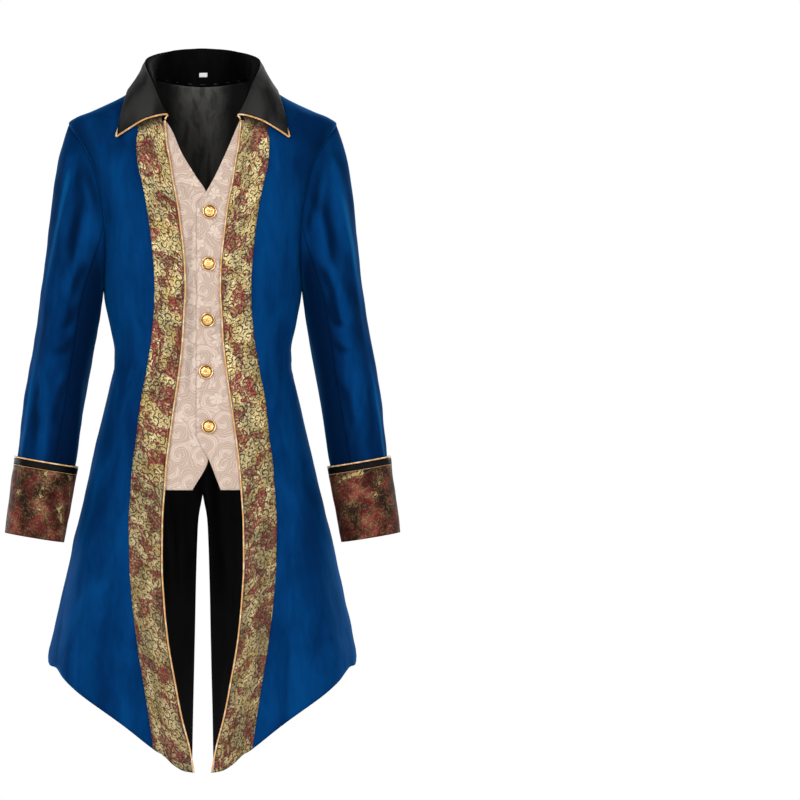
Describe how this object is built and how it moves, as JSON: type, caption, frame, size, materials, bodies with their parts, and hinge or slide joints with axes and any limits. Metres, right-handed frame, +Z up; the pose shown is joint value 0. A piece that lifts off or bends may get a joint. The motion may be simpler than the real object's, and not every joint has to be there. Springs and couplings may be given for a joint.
{
  "type": "tailcoat on the form of a worn garment",
  "caption": "Hollow velvet tailcoat with a black collar, brocade front bands and turned-back cuffs, and a pale false waistcoat with gold buttons.",
  "frame": {"origin": "midway between the shoulders at the level of the front neck, where a wearer or form holds the coat up", "axes": "+Z up, -Y towards the front of the coat, +X towards the wearer's left"},
  "size_m": [0.612, 0.3071, 1.1202],
  "materials": {
    "velvet": "matte",
    "black_satin": "satin",
    "brocade": "satin",
    "cuff_brocade": "satin",
    "jacquard": "satin",
    "gold_cord": "satin",
    "gold_metal": "polished",
    "white_tape": "matte"
  },
  "bodies": {
    "root": {"back": "velvet", "back_lining": "black_satin", "collar": "black_satin", "collar_piping": "gold_cord", "vest_left": "jacquard", "vest_right": "jacquard", "neck_label": "white_tape", "front_left": "velvet", "band_left": "brocade", "front_piping_left": "gold_cord", "sleeve_upper_left": "velvet", "sleeve_under_left": "velvet", "cuff_left": "cuff_brocade", "cuff_band_left": "black_satin", "cuff_piping_left": "gold_cord", "front_right": "velvet", "band_right": "brocade", "front_piping_right": "gold_cord", "sleeve_upper_right": "velvet", "sleeve_under_right": "velvet", "cuff_right": "cuff_brocade", "cuff_band_right": "black_satin", "cuff_piping_right": "gold_cord", "button_1": "gold_metal", "button_2": "gold_metal", "button_3": "gold_metal", "button_4": "gold_metal", "button_5": "gold_metal"}
  },
  "joints": []
}
